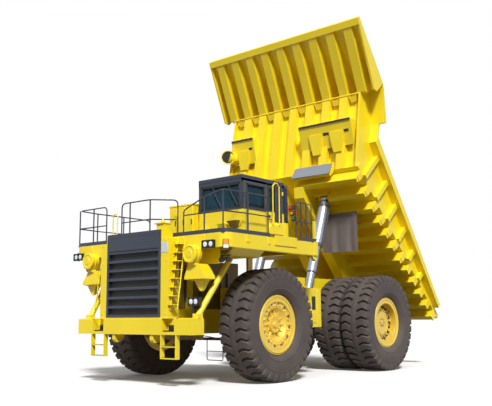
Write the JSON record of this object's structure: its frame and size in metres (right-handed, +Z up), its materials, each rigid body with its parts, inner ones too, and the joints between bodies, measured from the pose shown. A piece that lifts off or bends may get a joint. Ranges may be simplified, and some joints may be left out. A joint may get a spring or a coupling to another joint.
{
  "type": "mining dump truck",
  "caption": "Rigid mining dump truck with its steel body raised on telescopic hoists, a cab on the left of the deck, steered front wheels and twin rear wheels.",
  "frame": {"origin": "on the ground under the middle of the raised truck's bounding box", "axes": "+Z up; the truck faces -Y, its left side with the cab is +X"},
  "size_m": [6.33, 11.8778, 10.9568],
  "materials": {
    "yellow": "gloss",
    "navy": "satin",
    "tyre": "matte",
    "rim": "satin",
    "dark_steel": "satin",
    "hoist_steel": "polished",
    "mud_rubber": "matte",
    "glass": "clear",
    "seat": "woven"
  },
  "bodies": {
    "chassis": {"air_cleaners": "yellow", "bumper_steps": "yellow", "cab_floor": "yellow", "cab_front_wall": "yellow", "cab_glass": "glass", "cab_inner_wall": "yellow", "cab_interior": "seat", "cab_outer_wall": "yellow", "cab_rear_wall": "yellow", "cab_roof": "navy", "deck_cabinet": "yellow", "deck_supports": "yellow", "drive_line": "dark_steel", "engine_block": "dark_steel", "fender_struts": "yellow", "front_bumper": "yellow", "front_ladders": "dark_steel", "front_struts": "hoist_steel", "grille": "navy", "handrails": "navy", "head_lamps": "navy", "left_deck": "yellow", "main_frame": "yellow", "radiator_core": "dark_steel", "radiator_shell": "yellow", "rear_axle": "yellow", "right_deck": "yellow", "side_tanks": "yellow"},
    "left_steering": {"left_knuckle": "yellow"},
    "right_steering": {"right_knuckle": "yellow"},
    "tie_rod": {"tie_rod": "dark_steel"},
    "front_left_wheel": {"front_left_tyre": "tyre", "front_left_wheel": "rim"},
    "front_right_wheel": {"front_right_tyre": "tyre", "front_right_wheel": "rim"},
    "rear_left_wheels": {"rear_left_outer_tyre": "tyre", "rear_left_inner_tyre": "tyre", "rear_left_wheel": "rim"},
    "rear_right_wheels": {"rear_right_outer_tyre": "tyre", "rear_right_inner_tyre": "tyre", "rear_right_wheel": "rim"},
    "door": {"cab_door": "yellow", "door_glass": "glass"},
    "bed": {"bed_floor": "yellow", "bed_cross_members": "yellow", "bed_beams": "yellow", "bed_front_wall": "yellow", "bed_canopy": "yellow", "bed_front_ribs": "yellow", "bed_left_side": "yellow", "bed_right_side": "yellow"},
    "mud_flaps": {"mud_flaps": "mud_rubber"},
    "hoist_left_housing": {"hoist_left_housing": "yellow"},
    "hoist_left_stage": {"hoist_left_stage": "hoist_steel"},
    "hoist_left_rod": {"hoist_left_rod": "hoist_steel"},
    "hoist_right_housing": {"hoist_right_housing": "yellow"},
    "hoist_right_stage": {"hoist_right_stage": "hoist_steel"},
    "hoist_right_rod": {"hoist_right_rod": "hoist_steel"}
  },
  "joints": [
    {"name": "bed_tilt", "type": "hinge", "parent": "chassis", "child": "bed", "pos_m": [0, 2.79012, 2.4], "axis": [1, 0, 0], "range_deg": [0, 48]},
    {"name": "steer_left", "type": "hinge", "parent": "chassis", "child": "left_steering", "pos_m": [1.45, -3.10988, 1.48], "axis": [0, 0, 1], "range_deg": [-36, 36]},
    {"name": "steer_right", "type": "hinge", "parent": "chassis", "child": "right_steering", "pos_m": [-1.45, -3.10988, 1.48], "axis": [0, 0, 1], "range_deg": [-36, 36]},
    {"name": "tie_rod_swing", "type": "hinge", "parent": "left_steering", "child": "tie_rod", "pos_m": [1.45, -2.55988, 1.06], "axis": [0, 0, 1], "range_deg": [-36, 36]},
    {"name": "front_left_wheel_spin", "type": "hinge", "parent": "left_steering", "child": "front_left_wheel", "pos_m": [2.19, -3.10988, 1.48], "axis": [1, 0, 0], "continuous": true},
    {"name": "rear_left_wheels_spin", "type": "hinge", "parent": "chassis", "child": "rear_left_wheels", "pos_m": [2.385, 2.24012, 1.48], "axis": [1, 0, 0], "continuous": true},
    {"name": "front_right_wheel_spin", "type": "hinge", "parent": "right_steering", "child": "front_right_wheel", "pos_m": [-2.19, -3.10988, 1.48], "axis": [1, 0, 0], "continuous": true},
    {"name": "rear_right_wheels_spin", "type": "hinge", "parent": "chassis", "child": "rear_right_wheels", "pos_m": [-2.385, 2.24012, 1.48], "axis": [1, 0, 0], "continuous": true},
    {"name": "cab_door_swing", "type": "hinge", "parent": "chassis", "child": "door", "pos_m": [2.722, -3.08688, 4.4], "axis": [0, 0, 1], "range_deg": [0, 100]},
    {"name": "mud_flap_swing", "type": "hinge", "parent": "bed", "child": "mud_flaps", "pos_m": [0, 1.54453, 4.97895], "axis": [1, 0, 0], "range_deg": [-48, 0]},
    {"name": "hoist_left_pivot", "type": "hinge", "parent": "bed", "child": "hoist_left_housing", "pos_m": [1.1, 1.38988, 5.50041], "axis": [1, 0, 0], "range_deg": [-19.36, 0]},
    {"name": "hoist_left_stage_slide", "type": "slide", "parent": "hoist_left_housing", "child": "hoist_left_stage", "axis": [0, 0.3435, 0.9392], "range_m": [0, 0.851]},
    {"name": "hoist_left_rod_slide", "type": "slide", "parent": "hoist_left_stage", "child": "hoist_left_rod", "axis": [0, 0.3435, 0.9392], "range_m": [0, 1.4109]},
    {"name": "hoist_right_pivot", "type": "hinge", "parent": "bed", "child": "hoist_right_housing", "pos_m": [-1.1, 1.38988, 5.50041], "axis": [1, 0, 0], "range_deg": [-19.36, 0]},
    {"name": "hoist_right_stage_slide", "type": "slide", "parent": "hoist_right_housing", "child": "hoist_right_stage", "axis": [0, 0.3435, 0.9392], "range_m": [0, 0.851]},
    {"name": "hoist_right_rod_slide", "type": "slide", "parent": "hoist_right_stage", "child": "hoist_right_rod", "axis": [0, 0.3435, 0.9392], "range_m": [0, 1.4109]}
  ],
  "couplings": [
    {"joint": "steer_right", "follows": "steer_left", "ratio": 1},
    {"joint": "tie_rod_swing", "follows": "steer_left", "ratio": -1},
    {"joint": "mud_flap_swing", "follows": "bed_tilt", "ratio": -1},
    {"joint": "hoist_left_pivot", "follows": "bed_tilt", "ratio": -0.40233},
    {"joint": "hoist_left_stage_slide", "follows": "bed_tilt", "m_per_rad": 1.0146},
    {"joint": "hoist_left_rod_slide", "follows": "bed_tilt", "m_per_rad": 1.683},
    {"joint": "hoist_right_pivot", "follows": "bed_tilt", "ratio": -0.40233},
    {"joint": "hoist_right_stage_slide", "follows": "bed_tilt", "m_per_rad": 1.0146},
    {"joint": "hoist_right_rod_slide", "follows": "bed_tilt", "m_per_rad": 1.683}
  ]
}
